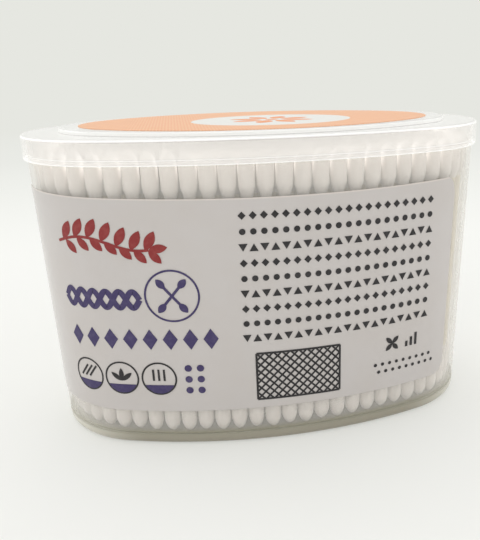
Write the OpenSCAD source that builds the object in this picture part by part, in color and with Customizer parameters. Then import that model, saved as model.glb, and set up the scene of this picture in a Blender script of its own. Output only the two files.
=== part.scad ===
// Oval box of cotton swabs: a tapered clear tub, a lift-off lid with a raised oval top,
// a paper label round the front wall, and swabs that stand upright inside.
// Millimetres. The origin is the centre of the base, +Z is up and -Y is the labelled front.

/* [Swabs] */
// Length of one swab from tip to tip
swab_len = 75; // [70:0.5:80]
// Diameter of the rolled paper stick
stick_d = 2.3; // [1.8:0.1:2.6]
// Length of stick that the cotton covers
head_len = 12; // [9:0.5:15]
// Diameter of the wound cotton head
head_d = 4.2; // [3.6:0.1:4.8]
// Radius of the rounded tip of a head
tip_r = 1.15; // [0.8:0.05:1.4]
// Length over which a head swells from its tip to full width
tip_swell = 4.2; // [3:0.1:6]
// Length over which a head narrows down to the stick
neck_taper = 3.2; // [2:0.1:4]
// Cotton that covers the end of the stick
tip_cover = 2; // [1.5:0.1:3]
// Room between the stick and the cotton wound on it
wind_gap = 0.03; // [0.02:0.01:0.1]
// Least room between two heads
head_gap = 0.14; // [0.08:0.01:0.4]
// Room between the outer heads and the wall of the tub
wall_gap = 0.3; // [0.2:0.05:0.6]
// Room between a tip and the floor under it
floor_gap = 0.1; // [0.05:0.05:0.3]

/* [Tub] */
// Outside length of the tub at its rim
tub_len = 122; // [108:1:136]
// Outside depth of the tub at its rim
tub_depth = 69; // [64:1:80]
// How much tighter the ends curve than a half circle over the depth would
end_tight = 5.3; // [2:0.1:9]
// Outward lean of the side wall, in degrees
draft = 1.9; // [0.5:0.1:3]
// Thickness of the side wall
tub_wall = 1; // [0.8:0.05:1.4]
// Thickness of the floor
floor_t = 1.2; // [0.8:0.1:2]
// Height of the foot ring that holds the floor off the table
foot_h = 1; // [0.6:0.1:1.6]
// Width of the flat underside of the foot ring
foot_w = 1.6; // [1.2:0.1:3]
// Radius of the edge between the side wall and the foot
foot_round = 1.8; // [1:0.1:2.4]
// Slope between the floor and the wall inside
floor_slope = 0.8; // [0.4:0.1:1.2]
// Height of free room between the swabs and the rim
head_room = 1.6; // [1:0.1:4]
// Height of the stepped-in band that the lid sits over
seat_h = 5.6; // [4:0.1:9]
// Depth of that step
seat_in = 0.35; // [0.2:0.05:0.5]
// Radius of the edges of the rim
rim_round = 0.2; // [0.1:0.05:0.25]

/* [Lid] */
// Room between the lid's skirt and the tub
lid_gap = 0.35; // [0.25:0.05:0.5]
// Room between the rim and the lid that rests over it
rest_gap = 0.1; // [0.05:0.05:0.3]
// Thickness of the lid's top plate
lid_t = 1; // [0.8:0.1:1.6]
// Thickness of the lid's skirt
skirt_t = 0.9; // [0.7:0.05:1.4]
// Room between the skirt's lower edge and the step of the tub
skirt_gap = 0.5; // [0.3:0.1:1.5]
// Height of the rounded bead along the skirt's lower edge
bead_h = 1; // [0.6:0.1:1.4]
// How far that bead stands out
bead_out = 0.2; // [0.1:0.05:0.4]
// Radius of the edge between the lid's skirt and its top
lid_round = 0.8; // [0.4:0.1:0.9]
// Height of the raised oval on the lid
boss_h = 1.2; // [0.6:0.1:2]
// Plate between the raised oval and the rim's ends
boss_in_ends = 8.5; // [6:0.5:16]
// Plate between the raised oval and the rim's long sides
boss_in_sides = 0.8; // [0.5:0.1:6]
// How much tighter the ends of the raised oval curve than a half circle
boss_tight = 9.4; // [4:0.1:14]
// Radius of the upper edge of the raised oval
boss_round = 0.5; // [0.2:0.1:0.8]

/* [Printed paper] */
// Height of the label's lower edge above the table
label_low = 10.1; // [6:0.1:20]
// Wall left bare between the label and the step under the lid
label_below_step = 7.5; // [3:0.1:16]
// Angle that the label runs on round the left end, in degrees
label_left = 68; // [10:1:70]
// Angle that the label runs on round the right end, in degrees
label_right = 18; // [10:1:50]
// Radius of the label's corners
label_corner = 4; // [1:0.5:6]
// How far a corner's curve runs past the label's edge, so that the two cross
corner_past = 0.05; // [0.02:0.01:0.2]
// Thickness of the label's paper
label_t = 0.12; // [0.08:0.01:0.25]
// Film of glue under the label
glue_t = 0.04; // [0.02:0.01:0.1]
// How much further off the wall the paper lies round the ends
paper_lift = 0.03; // [0.02:0.01:0.06]
// How far the label's upper edge curves up, at 60 mm from its middle
label_rise = 1.3; // [0:0.1:3]
// How far the coloured sticker stays inside the raised oval at its ends
sticker_in_ends = 5; // [1:0.5:12]
// How far it stays inside the raised oval along its long sides
sticker_in_sides = 0.9; // [0.6:0.1:4]
// How much tighter the sticker's ends curve than a half circle
sticker_tight = 9.8; // [4:0.1:14]
// Thickness of the sticker
sticker_t = 0.12; // [0.08:0.01:0.25]

/* [Hidden] */

// Fineness of end arcs, of long arcs, of the label's curved edge, of small edges and of swabs
end_fn = 240;
long_fn = 480;
label_fn = 1920;
edge_fn = 48;
swab_fn = 20;
// Longer than any piece, for cutting wedges out of a plan
far = 400;
// Distance from the middle at which the rise of the label's edge is given
rise_at = 60;
// Fullness of a head halfway up its swell, as a share of its radius
swell_mid = 0.84;
// Share of the wound cotton's thickness that is left at the end of the neck
neck_left = 0.25;
// Colours
clear_tub = [0.92, 0.93, 0.91, 0.45];
clear_lid = [0.93, 0.94, 0.92, 0.55];
label_grey = [0.86, 0.85, 0.83];
sticker_orange = [0.94, 0.66, 0.47];
stick_cream = [0.91, 0.87, 0.76];
cotton_white = [0.96, 0.96, 0.94];

// Heights that the swab sets: floor, tips, rim, lid
floor_z = foot_h + floor_t;
tip_z = floor_z + floor_gap;
rim_z = tip_z + swab_len + head_room;
lid_z = rim_z + rest_gap;
lid_top = lid_z + lid_t;
boss_top = lid_top + boss_h;
step_z = rim_z - seat_h;
skirt_z = step_z + skirt_gap;

label_h = step_z - label_below_step - label_low;

// Plans are ovals of four arcs: [half length, half depth, end radius]
rim_oval = [tub_len / 2, tub_depth / 2, tub_depth / 2 - end_tight];
boss_oval = [rim_oval[0] - boss_in_ends, rim_oval[1] - boss_in_sides,
    rim_oval[1] - boss_in_sides - boss_tight];
sticker_oval = [boss_oval[0] - sticker_in_ends, boss_oval[1] - sticker_in_sides,
    boss_oval[1] - sticker_in_sides - sticker_tight];

// Radius of the long arcs of an oval
function side_r(o) = (pow(o[0] - o[2], 2) + pow(o[1], 2) - pow(o[2], 2)) / (2 * (o[1] - o[2]));
// Distance of a long arc's centre from the middle
function side_c(o) = side_r(o) - o[1];
// Distance of an end arc's centre from the middle
function end_c(o) = o[0] - o[2];
// Half the angle that a long arc spans
function side_a(o) = atan2(end_c(o), side_c(o));
// Half the angle that an end arc spans
function end_a(o) = 90 - side_a(o);
// How far the leaning outer wall stands in from the rim at a height
function lean(z) = -(rim_z - z) * tan(draft);

// Spacing of the swabs, and how far inside the rim's oval the outer and the inner ones stand
pitch = head_d + head_gap;
ring_u = lean(tip_z) - tub_wall - wall_gap - head_d / 2;
core_u = ring_u - pitch;
row_pitch = pitch * sqrt(3) / 2;
core_rows = floor((rim_oval[1] + core_u) / row_pitch);
core_columns = ceil((rim_oval[0] + core_u) / pitch);
// How much wider the inner swabs stand at their upper tips than at their lower ones
spread_x = 1 - lean(tip_z) / (rim_oval[0] + ring_u);
spread_y = 1 - lean(tip_z) / (rim_oval[1] + ring_u);

// True where a point lies inside the rim's oval moved out by u
function inside(x, y, u) =
    let (o = rim_oval, e = end_c(o), past = abs(x) - e)
    past > abs(y) * tan(side_a(o))
        ? norm([past, y]) <= o[2] + u
        : norm([x, abs(y) + side_c(o)]) <= side_r(o) + u;

// The wedge of a plan in which the front long arc runs
module long_wedge(o) {
    e = end_c(o);
    s = far * sin(side_a(o));
    c = far * cos(side_a(o));
    polygon([[e, 0], [-e, 0], [-e - s, -c], [e + s, -c]]);
}

// The wedge of a plan in which the right end arc runs, with the same edges
module end_wedge(o) {
    e = end_c(o);
    s = far * sin(side_a(o));
    c = far * cos(side_a(o));
    polygon([[e, 0], [e + s, -c], [e + far, -c], [e + far, c], [e + s, c]]);
}

// The flat plan of an oval moved out by u
module oval_plan(o, u = 0) {
    for (turn = [0, 180]) rotate(turn) {
        intersection() {
            translate([0, side_c(o)]) circle(side_r(o) + u, $fn = long_fn);
            long_wedge(o);
        }
        intersection() {
            translate([end_c(o), 0]) circle(o[2] + u, $fn = end_fn);
            end_wedge(o);
        }
    }
}

// A solid of oval plan whose side follows a profile of [offset from the oval, height]
module oval_solid(o) {
    for (turn = [0, 180]) rotate([0, 0, turn]) {
        intersection() {
            translate([0, side_c(o), 0]) turned(side_r(o), long_fn) children();
            upright() long_wedge(o);
        }
        intersection() {
            translate([end_c(o), 0, 0]) turned(o[2], end_fn) children();
            upright() end_wedge(o);
        }
    }
}

// A plan drawn up past everything, above and below
module upright() {
    translate([0, 0, -far / 4]) linear_extrude(far / 2) children();
}

// A profile turned round an upright axis that stands r inside its zero offset
module turned(r, fine) {
    rotate([0, 0, 180]) rotate_extrude($fn = fine) intersection() {
        translate([r, 0]) children();
        translate([0, -far / 4]) square([far, far / 2]);
    }
}

// A wedge of disc that rounds a corner between two directions
module corner_round(at, r, from, to) {
    mid = (from + to) / 2;
    intersection() {
        translate(at) circle(r, $fn = edge_fn);
        polygon([at, at + 2 * r * [cos(from), sin(from)], at + 3 * r * [cos(mid), sin(mid)],
            at + 2 * r * [cos(to), sin(to)]]);
    }
}

// Outside of the tub: foot edge, leaning wall, step and rim
module tub_outside() {
    round_u = lean(0) + foot_round * tan(draft) - foot_round / cos(draft);
    round_c = [round_u, foot_round];
    touch = round_c + foot_round * [cos(draft), -sin(draft)];
    polygon([
        [-far, 0], [round_u, 0], round_c, touch,
        [lean(step_z), step_z],
        [lean(step_z) - seat_in, step_z + seat_in],
        [-seat_in, rim_z - rim_round],
        [-seat_in - rim_round, rim_z],
        [-far, rim_z]
    ]);
    corner_round(round_c, foot_round, -90, -draft);
}

// Room inside the tub, open at the rim
module tub_inside() {
    polygon([
        [-far, floor_z],
        [lean(floor_z) - tub_wall - floor_slope, floor_z],
        [lean(floor_z + floor_slope) - tub_wall, floor_z + floor_slope],
        [-tub_wall, rim_z - rim_round],
        [-tub_wall + rim_round, rim_z],
        [-tub_wall + rim_round, rim_z + lid_t],
        [-far, rim_z + lid_t]
    ]);
}

// Hollow under the floor, inside the foot ring
module foot_hollow() {
    foot_u = lean(0) - foot_round - foot_w;
    polygon([[-far, -foot_h], [foot_u, -foot_h], [foot_u, 0],
        [foot_u - foot_h * tan(draft), foot_h], [-far, foot_h]]);
}

module tub() {
    color(clear_tub) difference() {
        oval_solid(rim_oval) tub_outside();
        oval_solid(rim_oval) tub_inside();
        oval_solid(rim_oval) foot_hollow();
    }
}

// Outside of the lid: skirt with its bead, rounded edge and flat top
module lid_outside() {
    out_u = lid_gap - seat_in + skirt_t;
    round_c = [out_u - lid_round, lid_top - lid_round];
    bead_c = [out_u + lean(skirt_z + bead_h / 2) + bead_out - bead_h / 2, skirt_z + bead_h / 2];
    polygon([
        [-far, skirt_z],
        [out_u + lean(skirt_z), skirt_z],
        [out_u, lid_top - lid_round],
        round_c,
        [out_u - lid_round, lid_top],
        [-far, lid_top]
    ]);
    corner_round(round_c, lid_round, 0, 90);
    translate(bead_c) circle(bead_h / 2, $fn = edge_fn);
}

// Room under the lid, round the rim of the tub
module lid_inside() {
    in_u = lid_gap - seat_in;
    polygon([[-far, skirt_z - lid_t], [in_u + lean(skirt_z - lid_t), skirt_z - lid_t],
        [in_u, lid_z], [-far, lid_z]]);
}

// Raised oval of the lid with its rounded shoulder
module boss_outside() {
    round_c = [-boss_round, boss_top - boss_round];
    polygon([[-far, lid_z], [0, lid_z], [0, boss_top - boss_round], round_c,
        [-boss_round, boss_top], [-far, boss_top]]);
    corner_round(round_c, boss_round, 0, 90);
}

module lid() {
    color(clear_lid) difference() {
        union() {
            oval_solid(rim_oval) lid_outside();
            oval_solid(boss_oval) boss_outside();
        }
        oval_solid(rim_oval) lid_inside();
        translate([0, 0, lid_z - lid_t]) linear_extrude(lid_t + boss_h) oval_plan(boss_oval, -lid_t);
    }
}

// Everything within the leaning wall moved out by gap, from below the label to above it
module within_wall(gap) {
    low = label_low - label_rise;
    high = label_low + label_h + 2 * label_rise;
    polygon([[-far, low], [lean(low) + gap, low], [lean(high) + gap, high], [-far, high]]);
}

// The wall as the paper follows it, moved out by gap
module papered_wall(gap) {
    intersection() {
        translate([0, side_c(rim_oval), 0]) turned(side_r(rim_oval), long_fn) within_wall(gap);
        upright() long_wedge(rim_oval);
    }
    for (way = [-1, 1]) translate([way * end_c(rim_oval), 0, 0])
        turned(rim_oval[2] + paper_lift, end_fn) within_wall(gap);
}

// Height of the label's upper edge at a distance x from the middle
function label_top(x) = label_low + label_h + label_rise * pow(x / rise_at, 2);

// The label as it would look flat from the front, its upper edge curving up to both ends
module label_outline() {
    rise_r = pow(rise_at, 2) / (2 * label_rise);
    difference() {
        translate([-far / 2, label_low]) square([far, label_h + 2 * label_rise]);
        translate([0, label_top(0) + rise_r]) circle(rise_r, $fn = label_fn);
    }
}

// What comes off the paper so that its two corners at the right end are round
module corner_cuts(reach) {
    turn = reach - end_a(rim_oval);
    edge_x = end_c(rim_oval) + rim_oval[2] * cos(turn);
    back = asin(label_corner / (rim_oval[2] + lean(label_low)));
    translate([end_c(rim_oval), 0, 0]) rotate([90, 0, 90 + turn - back]) linear_extrude(far) {
        translate([0, label_low + label_corner - corner_past]) mirror([0, 1]) corner_cut();
        translate([0, label_top(edge_x) - label_corner + corner_past]) corner_cut();
    }
}

module corner_cut() {
    difference() {
        square(2 * label_corner);
        circle(label_corner, $fn = edge_fn);
    }
}

module front_label() {
    e = end_c(rim_oval);
    turn = [label_right, label_left] - end_a(rim_oval) * [1, 1];
    color(label_grey) difference() {
        intersection() {
            difference() {
                papered_wall(glue_t + label_t);
                papered_wall(glue_t);
            }
            rotate([90, 0, 0]) linear_extrude(tub_depth) label_outline();
            upright() polygon([
                [-e, 0], [-e - far * cos(turn[1]), far * sin(turn[1])], [-far, -far],
                [far, -far], [e + far * cos(turn[0]), far * sin(turn[0])], [e, 0],
                [0, -tub_depth / 4]
            ]);
        }
        corner_cuts(label_right);
        mirror([1, 0, 0]) corner_cuts(label_left);
    }
}

module lid_sticker() {
    color(sticker_orange) translate([0, 0, boss_top]) linear_extrude(sticker_t)
        oval_plan(sticker_oval);
}

// One wound head with its tip at the origin and its neck above, bored for the stick
module cotton_head() {
    head_r = head_d / 2;
    neck_r = stick_d / 2 + (head_d - stick_d) / 2 * neck_left;
    rotate_extrude($fn = swab_fn) difference() {
        union() {
            intersection() {
                translate([0, tip_r]) circle(tip_r, $fn = swab_fn);
                square(2 * tip_r);
            }
            polygon([[0, tip_r], [tip_r, tip_r], [head_r * swell_mid, tip_swell / 2],
                [head_r, tip_swell], [head_r, head_len - neck_taper],
                [neck_r, head_len], [0, head_len]]);
        }
        translate([0, tip_cover]) square([stick_d / 2 + wind_gap, head_len]);
    }
}

module stick() {
    translate([0, 0, tip_cover + wind_gap])
        cylinder(d = stick_d, h = swab_len - 2 * (tip_cover + wind_gap), $fn = swab_fn);
}

// One piece of a swab that stands on its lower tip
module swab_piece(piece) {
    if (piece == "sticks") stick();
    if (piece == "lower_tips") cotton_head();
    if (piece == "upper_tips") translate([0, 0, swab_len]) mirror([0, 0, 1]) cotton_head();
}

module swab_colour(piece) {
    color(piece == "sticks" ? stick_cream : cotton_white) children();
}

// Swabs spaced evenly along one arc of the wall, leaning with it
module ring_swabs(piece, arc_r, half_a) {
    count = floor(arc_r * half_a * PI / 90 / pitch);
    swab_colour(piece) for (i = [0:count - 1])
        rotate([0, 0, (2 * (i + 0.5) / count - 1) * half_a]) translate([arc_r, 0, tip_z])
            rotate([0, draft, 0]) swab_piece(piece);
}

module side_swabs(piece, back = 0) {
    rotate([0, 0, 180 * back]) translate([0, side_c(rim_oval), 0]) rotate([0, 0, -90])
        ring_swabs(piece, side_r(rim_oval) + ring_u, side_a(rim_oval));
}

module end_swabs(piece, left = 0) {
    rotate([0, 0, 180 * left]) translate([end_c(rim_oval), 0, 0])
        ring_swabs(piece, rim_oval[2] + ring_u, end_a(rim_oval));
}

// Swabs in staggered rows inside the outer ring, from one row to another
module core_swabs(piece, first, last) {
    swab_colour(piece) for (j = [first:last], i = [-core_columns:core_columns]) {
        x = (i + (j % 2 == 0 ? 0 : 0.5)) * pitch;
        y = j * row_pitch;
        if (inside(x, y, core_u)) {
            way = [x * (spread_x - 1), y * (spread_y - 1)];
            translate([x, y, tip_z]) rotate([0, asin(norm(way) / swab_len), atan2(way[1], way[0])])
                swab_piece(piece);
        }
    }
}

tub();
lid();
front_label();
lid_sticker();
side_swabs("sticks");  // front_wall_sticks
side_swabs("lower_tips");  // front_wall_lower_tips
side_swabs("upper_tips");  // front_wall_upper_tips
side_swabs("sticks", 1);  // back_wall_sticks
side_swabs("lower_tips", 1);  // back_wall_lower_tips
side_swabs("upper_tips", 1);  // back_wall_upper_tips
end_swabs("sticks", 1);  // left_end_sticks
end_swabs("lower_tips", 1);  // left_end_lower_tips
end_swabs("upper_tips", 1);  // left_end_upper_tips
end_swabs("sticks");  // right_end_sticks
end_swabs("lower_tips");  // right_end_lower_tips
end_swabs("upper_tips");  // right_end_upper_tips
core_swabs("sticks", -core_rows, -1);  // inner_front_sticks
core_swabs("lower_tips", -core_rows, -1);  // inner_front_lower_tips
core_swabs("upper_tips", -core_rows, -1);  // inner_front_upper_tips
core_swabs("sticks", 0, 0);  // inner_middle_sticks
core_swabs("lower_tips", 0, 0);  // inner_middle_lower_tips
core_swabs("upper_tips", 0, 0);  // inner_middle_upper_tips
core_swabs("sticks", 1, core_rows);  // inner_back_sticks
core_swabs("lower_tips", 1, core_rows);  // inner_back_lower_tips
core_swabs("upper_tips", 1, core_rows);  // inner_back_upper_tips
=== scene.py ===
"""Looks, light and camera for an oval box of cotton swabs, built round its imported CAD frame.

The tub, the lid, the paper sheets and the swab sticks are the frame's own solids and get
their finishes here. The wound cotton heads replace the frame's plain ones, and the printed
shapes on the label and on the lid are thin pieces that lie on the paper. Sizes are in
metres, apart from the flat artwork of the print, which is drawn in millimetres.
"""

import logging
import math
import random
from dataclasses import dataclass, field
from enum import Enum
from typing import Any, Callable, Iterable, Sequence

import bmesh
import bpy
import numpy as np
from mathutils import Matrix, Vector


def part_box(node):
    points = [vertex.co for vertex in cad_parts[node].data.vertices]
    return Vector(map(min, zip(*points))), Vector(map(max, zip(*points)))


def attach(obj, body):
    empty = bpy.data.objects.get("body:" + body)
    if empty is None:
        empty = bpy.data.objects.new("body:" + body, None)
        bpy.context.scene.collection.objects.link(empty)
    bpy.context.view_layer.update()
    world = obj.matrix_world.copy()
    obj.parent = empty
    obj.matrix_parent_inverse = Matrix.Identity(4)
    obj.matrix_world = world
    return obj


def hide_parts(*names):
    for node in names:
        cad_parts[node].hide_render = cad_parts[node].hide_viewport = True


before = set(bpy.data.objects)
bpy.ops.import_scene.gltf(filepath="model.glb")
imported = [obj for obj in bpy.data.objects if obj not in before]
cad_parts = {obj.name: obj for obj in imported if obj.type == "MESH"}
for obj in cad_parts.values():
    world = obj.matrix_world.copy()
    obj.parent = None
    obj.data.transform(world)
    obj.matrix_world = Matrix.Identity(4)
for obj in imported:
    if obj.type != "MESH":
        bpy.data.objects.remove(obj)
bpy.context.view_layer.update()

log = logging.getLogger("cotton_swab_box")

MM = 0.001
BOX_BODY = "box"
LID_BODY = "lid"

Number = int | float
Colour = tuple[float, float, float]
Point2 = tuple[float, float]
Span = tuple[float, float]
Face = tuple[int, ...]

# A Mix node's colour sockets share their names with its number sockets, so they go by number.
MIX_SHARE, MIX_FIRST, MIX_SECOND, MIX_RESULT = 0, 6, 7, 2


def linear(red: int, green: int, blue: int) -> Colour:
    """Works out the linear colour of a display colour.

    Args:
        red: its red part, from 0 to 255.
        green: its green part.
        blue: its blue part.

    Returns:
        The linear colour, each part from 0 to 1.
    """
    def one(value: int) -> float:
        """Returns one channel, decoded with the sRGB curve."""
        share = value / 255
        return share / 12.92 if share <= 0.04045 else ((share + 0.055) / 1.055) ** 2.4
    return one(red), one(green), one(blue)


def toned(colour: Colour, share: float) -> Colour:
    """Returns a colour times a share, each part held at 1."""
    red, green, blue = (min(1.0, share * part) for part in colour)
    return red, green, blue


class Kind(Enum):
    """What a wrapped socket carries."""

    NUMBER = "number"
    VECTOR = "vector"
    COLOUR = "colour"


@dataclass(frozen=True)
class Grain:
    """A noise: its grains to a metre, octaves of finer grain, their strength and its stretch."""

    scale: float
    detail: float = 2.0
    rough: float = 0.5
    stretch: tuple[float, float, float] = (1.0, 1.0, 1.0)


@dataclass(frozen=True)
class Relief:
    """How deep a grain is cut, how strongly it shows, and the finer grain's part in it."""

    depth: float
    strength: float
    fine: float = 1.0


class Value:
    """A node socket that Python's operators build shader maths on."""

    def __init__(self, graph: "Graph", socket: bpy.types.NodeSocket) -> None:
        """Wraps an output socket of a graph."""
        self.graph = graph
        self.socket = socket

    @property
    def kind(self) -> Kind:
        """What the socket carries."""
        if self.socket.type == "RGBA":
            return Kind.COLOUR
        return Kind.VECTOR if self.socket.type == "VECTOR" else Kind.NUMBER

    def __add__(self, other: Any) -> "Value":
        """Returns self + other."""
        return self.graph.combine("ADD", self, other)

    __radd__ = __add__

    def __sub__(self, other: Any) -> "Value":
        """Returns self - other."""
        return self.graph.combine("SUBTRACT", self, other)

    def __rsub__(self, other: Any) -> "Value":
        """Returns other - self."""
        return self.graph.combine("SUBTRACT", other, self)

    def __mul__(self, other: Any) -> "Value":
        """Returns self * other."""
        return self.graph.combine("MULTIPLY", self, other)

    __rmul__ = __mul__

    def __truediv__(self, other: Any) -> "Value":
        """Returns self / other."""
        return self.graph.combine("DIVIDE", self, other)

    def __pow__(self, other: Any) -> "Value":
        """Returns self raised to other."""
        return self.graph.combine("POWER", self, other)

    def sine(self) -> "Value":
        """Returns the sine of a number."""
        return self.graph.math("SINE", self)

    def size(self) -> "Value":
        """Returns the number without its sign."""
        return self.graph.math("ABSOLUTE", self)

    def clamped(self) -> "Value":
        """Returns the number held between 0 and 1."""
        return self.graph.math("ADD", self, 0.0, use_clamp=True)

    def above(self, level: Number, share: Number = 1.0) -> "Value":
        """Returns how far the number lies over a level, times a share."""
        return (self - level).clamped() * share

    def rise(self, low: Number, high: Number) -> "Value":
        """Builds a smooth step.

        Args:
            low: where the step starts, at 0.
            high: where it ends, at 1. It may lie below low, for a falling step.

        Returns:
            The smoothed share of the way from low to high.
        """
        start, stop = (0.0, 1.0) if high > low else (1.0, 0.0)
        inputs = {"Value": self, "From Min": min(low, high), "From Max": max(low, high),
                  "To Min": start, "To Max": stop}
        made = self.graph.node("MapRange", {"interpolation_type": "SMOOTHSTEP"}, inputs)
        return self.graph.out(made)

    def band(self, low: Number, high: Number, soft: Number) -> "Value":
        """Returns 1 between low and high, fading out over soft on both sides."""
        return self.rise(low - soft, low) * self.rise(high + soft, high)


class Graph:
    """The node tree of a material or a world, built from calls and expressions."""

    def __init__(self, tree: bpy.types.NodeTree) -> None:
        """Empties a node tree and builds on it."""
        tree.nodes.clear()
        self.tree = tree

    def node(self, kind: str, settings: dict[str, Any] | None = None,
             inputs: dict[Any, Any] | None = None) -> bpy.types.Node:
        """Adds one node.

        Args:
            kind: the node's type name after "ShaderNode".
            settings: the node's own properties, and "stops" for a colour ramp.
            inputs: values, colours or links by socket name or number.

        Returns:
            The new node.
        """
        made = self.tree.nodes.new("ShaderNode" + kind)
        for name, setting in (settings or {}).items():
            if name == "stops":
                self.fill_ramp(made.color_ramp, setting)
            else:
                setattr(made, name, setting)
        for name, given in (inputs or {}).items():
            self.plug(made.inputs[name], given)
        return made

    def fill_ramp(self, ramp: bpy.types.ColorRamp, stops: Sequence[tuple[float, Colour]]) -> None:
        """Gives a colour ramp its stops.

        Args:
            ramp: the ramp.
            stops: a place from 0 to 1 and a colour for each stop, in order.
        """
        while len(ramp.elements) < len(stops):
            ramp.elements.new(0.5)
        for element, (place, colour) in zip(ramp.elements, stops):
            element.position = place
            element.color = (*colour, 1.0)

    def plug(self, socket: bpy.types.NodeSocket, given: Any) -> None:
        """Links a value to a socket or sets the socket's constant.

        Args:
            socket: the input socket.
            given: a Value, a number, a vector or a colour.
        """
        if isinstance(given, Value):
            self.tree.links.new(given.socket, socket)
        elif socket.type == "RGBA" and len(given) == 3:
            socket.default_value = (*given, 1.0)
        elif socket.type == "VECTOR" and isinstance(given, (int, float)):
            socket.default_value = (given, given, given)
        else:
            socket.default_value = given

    def out(self, made: bpy.types.Node, name: Any = 0) -> Value:
        """Returns a node's output as a value."""
        return Value(self, made.outputs[name])

    def math(self, operation: str, *values: Any, use_clamp: bool = False) -> Value:
        """Returns one Math node's result."""
        settings = {"operation": operation, "use_clamp": use_clamp}
        return self.out(self.node("Math", settings, dict(enumerate(values))))

    def vector(self, operation: str, *values: Any) -> Value:
        """Returns one Vector Math node's vector."""
        return self.out(self.node("VectorMath", {"operation": operation}, dict(enumerate(values))))

    def combine(self, operation: str, first: Any, second: Any) -> Value:
        """Joins two values with the node that their kind asks for.

        Args:
            operation: ADD, SUBTRACT, MULTIPLY, DIVIDE or POWER.
            first: the left value, a constant or a Value.
            second: the right one.

        Returns:
            The result, of the wider of the two kinds.
        """
        kinds = {v.kind for v in (first, second) if isinstance(v, Value)}
        if Kind.COLOUR in kinds:
            return self.blend(1.0, first, second, operation)
        if Kind.VECTOR in kinds:
            return self.vector(operation, first, second)
        return self.math(operation, first, second)

    def blend(self, share: Any, first: Any, second: Any, mode: str = "MIX") -> Value:
        """Mixes two colours.

        Args:
            share: 0 for the first colour, 1 for the second.
            first: a colour, constant or a Value.
            second: the other one.
            mode: the Mix node's blend type.

        Returns:
            The mixed colour.
        """
        settings = {"data_type": "RGBA", "blend_type": mode}
        made = self.node("Mix", settings, {MIX_SHARE: share, MIX_FIRST: first, MIX_SECOND: second})
        return self.out(made, MIX_RESULT)

    def place(self) -> Value:
        """Returns the point on the piece, in metres, which moves with the piece."""
        return self.out(self.node("TexCoord"), "Object")

    def axes(self, point: Value) -> tuple[Value, Value, Value]:
        """Returns the three parts of a vector."""
        made = self.node("SeparateXYZ", None, {0: point})
        return self.out(made, 0), self.out(made, 1), self.out(made, 2)

    def noise(self, point: Value, grain: Grain) -> Value:
        """Reads a noise.

        Args:
            point: where it is read.
            grain: what it is like.

        Returns:
            The noise, from 0 to 1.
        """
        inputs = {"Vector": self.vector("MULTIPLY", point, grain.stretch), "Scale": grain.scale,
                  "Detail": grain.detail, "Roughness": grain.rough}
        return self.out(self.node("TexNoise", {"noise_dimensions": "3D"}, inputs))

    def bump(self, relief: Relief, fine: Value, coarse: Value | None = None) -> Value:
        """Raises the surface by one grain or by two.

        Args:
            relief: how deep and strong it is.
            fine: the finer grain's height, from 0 to 1.
            coarse: the coarser one's.

        Returns:
            The normal.
        """
        height = fine
        if coarse is not None:
            height = fine * relief.fine + coarse * (1.0 - relief.fine)
        values = {"Height": height, "Distance": relief.depth, "Strength": relief.strength}
        return self.out(self.node("Bump", None, values))

    def principled(self, values: dict[str, Any]) -> Value:
        """Returns a Principled shader."""
        return self.out(self.node("BsdfPrincipled", None, values))

    def either(self, share: Value, first: Value, second: Value) -> Value:
        """Returns a shader mix: first where share is 0, second where it is 1."""
        return self.out(self.node("MixShader", None, {0: share, 1: first, 2: second}))

    def rays(self, *kinds: str) -> Value:
        """Tells rays of some kinds from the others.

        Args:
            kinds: words between "Is" and "Ray" on the Light Path node.

        Returns:
            1 for rays of these kinds and 0 for others.
        """
        path = self.node("LightPath")
        found = [self.out(path, f"Is {kind} Ray") for kind in kinds]
        return sum(found[1:], found[0]).clamped()

    def finish(self, shader: Value, target: str = "OutputMaterial") -> None:
        """Links a shader to the tree's output."""
        self.node(target, None, {0: shader})


def new_material(name: str, draw: Callable[[Graph], Value]) -> bpy.types.Material:
    """Makes a material.

    Args:
        name: the material's name.
        draw: builds the shader on the material's graph.

    Returns:
        The material.
    """
    material = bpy.data.materials.new(name)
    material.use_nodes = True
    graph = Graph(material.node_tree)
    graph.finish(draw(graph))
    return material


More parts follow.
